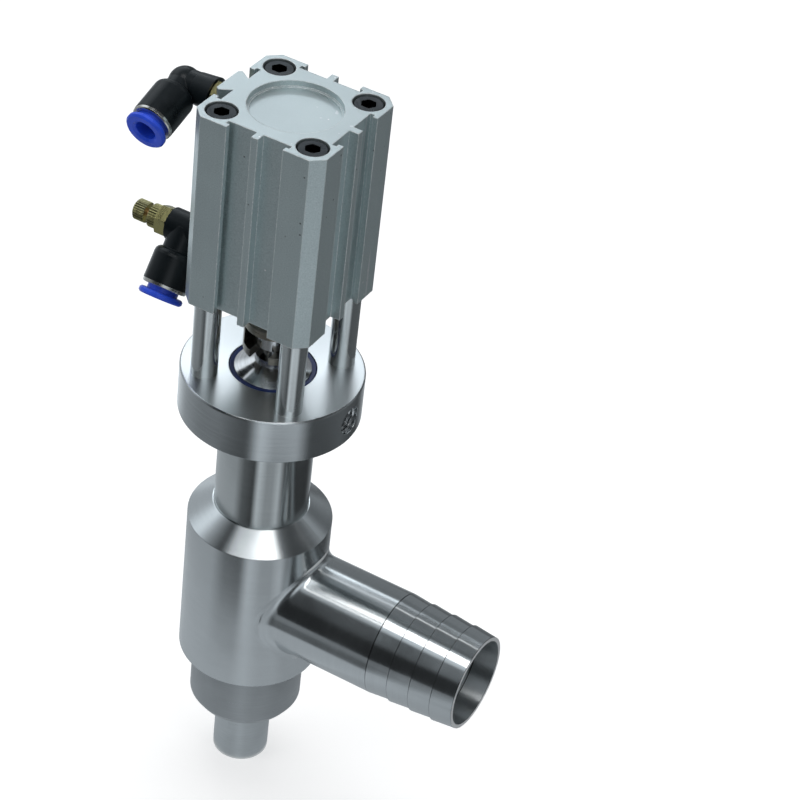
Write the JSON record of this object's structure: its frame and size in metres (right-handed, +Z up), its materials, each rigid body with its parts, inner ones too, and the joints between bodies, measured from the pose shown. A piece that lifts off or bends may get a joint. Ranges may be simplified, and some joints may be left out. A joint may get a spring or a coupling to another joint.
{
  "type": "filling valve",
  "caption": "Stainless pneumatic filling valve with hose tail inlet, long neck, drip-free nozzle and a square air cylinder on pillars.",
  "frame": {"origin": "centre of the nozzle's outlet face", "axes": "+Z up the stem towards the air cylinder, +X along the inlet branch towards the hose, -Y the side towards which the coupling's slot opens"},
  "size_m": [0.1244, 0.0526, 0.2342],
  "materials": {
    "brushed_steel": "satin brushed stainless steel",
    "polished_steel": "polished stainless steel",
    "weld_steel": "dressed weld bead",
    "chromed_rod": "ground and hard chromed",
    "barrel_aluminium": "satin anodised",
    "black_oxide": "black oxide",
    "brass": "turned brass",
    "nickel_plate": "nickel plated brass",
    "spring_steel": "bright spring steel",
    "copper_spindle": "turned copper alloy",
    "black_plastic": "moulded, slightly glossy",
    "blue_plastic": "moulded, slightly glossy",
    "seal_rubber": "nitrile rubber",
    "blue_rubber": "dark blue polyurethane",
    "magnet_black": "plastic bonded magnet"
  },
  "bodies": {
    "valve_frame": {"nozzle_tip": "brushed_steel", "tip_gasket": "seal_rubber", "tip_clamp_ring": "brushed_steel", "nozzle_sleeve": "brushed_steel", "sleeve_oring": "seal_rubber", "valve_body": "brushed_steel", "inlet_hose_tail": "polished_steel", "inlet_weld": "weld_steel", "neck_tube": "polished_steel", "mounting_flange": "brushed_steel", "pillars": "polished_steel", "cylinder_barrel": "barrel_aluminium", "barrel_screws": "black_oxide", "rear_cap": "barrel_aluminium", "rear_cap_oring": "seal_rubber", "rod_gland": "brushed_steel", "gland_oring": "seal_rubber", "gland_circlip": "black_oxide", "rod_bush": "brass", "rod_seal": "seal_rubber", "upper_port_stem": "brass", "upper_port_gasket": "seal_rubber", "upper_swivel_oring": "seal_rubber", "lower_port_stem": "brass", "lower_port_gasket": "seal_rubber", "lower_banjo_orings": "seal_rubber", "needle_bonnet": "brass"},
    "stem": {"valve_stem": "polished_steel", "guide_wiper": "blue_rubber", "guide_orings": "seal_rubber", "stem_plug": "brushed_steel", "plug_oring": "blue_rubber", "stem_coupling": "polished_steel", "piston_rod": "chromed_rod", "piston": "barrel_aluminium", "piston_seal": "seal_rubber", "piston_magnet": "magnet_black", "piston_bumpers": "seal_rubber", "piston_nut": "brushed_steel"},
    "upper_fitting": {"upper_elbow": "black_plastic", "upper_socket_ring": "nickel_plate", "upper_grip_ring": "spring_steel", "upper_tube_seal": "seal_rubber"},
    "upper_release": {"upper_release_collar": "blue_plastic"},
    "lower_fitting": {"lower_banjo": "black_plastic", "lower_socket_ring": "nickel_plate", "lower_grip_ring": "spring_steel", "lower_tube_seal": "seal_rubber"},
    "lower_release": {"lower_release_collar": "blue_plastic"},
    "needle": {"needle_spindle": "copper_spindle"},
    "knob": {"needle_knob": "brass"},
    "lock_nut": {"lock_ring": "brass"}
  },
  "joints": [
    {"name": "stem_stroke", "type": "slide", "parent": "valve_frame", "child": "stem", "axis": [0, 0, -1], "range_m": [0, 0.03]},
    {"name": "upper_swivel", "type": "hinge", "parent": "valve_frame", "child": "upper_fitting", "pos_m": [-0.0346, 0, 0.2278], "axis": [-1, 0, 0], "continuous": true},
    {"name": "lower_swivel", "type": "hinge", "parent": "valve_frame", "child": "lower_fitting", "pos_m": [-0.0308, 0, 0.1817], "axis": [-1, 0, 0], "continuous": true},
    {"name": "upper_release_press", "type": "slide", "parent": "upper_fitting", "child": "upper_release", "axis": [0, 0.9455, 0.3256], "range_m": [0, 0.0008], "stiffness_N_per_m": 1500},
    {"name": "lower_release_press", "type": "slide", "parent": "lower_fitting", "child": "lower_release", "axis": [0, 0.6157, 0.788], "range_m": [0, 0.0008], "stiffness_N_per_m": 1500},
    {"name": "needle_travel", "type": "slide", "parent": "valve_frame", "child": "needle", "axis": [-1, 0, 0], "range_m": [-0.00125, 0.0025]},
    {"name": "needle_turn", "type": "hinge", "parent": "needle", "child": "knob", "pos_m": [-0.045, 0, 0.1817], "axis": [-1, 0, 0], "range_deg": [-900, 1800]},
    {"name": "lock_ring_turn", "type": "hinge", "parent": "valve_frame", "child": "lock_nut", "pos_m": [-0.041, 0, 0.1817], "axis": [-1, 0, 0], "range_deg": [0, 180]}
  ],
  "couplings": [
    {"joint": "needle_turn", "follows": "needle_travel", "rad_per_m": 12566}
  ]
}
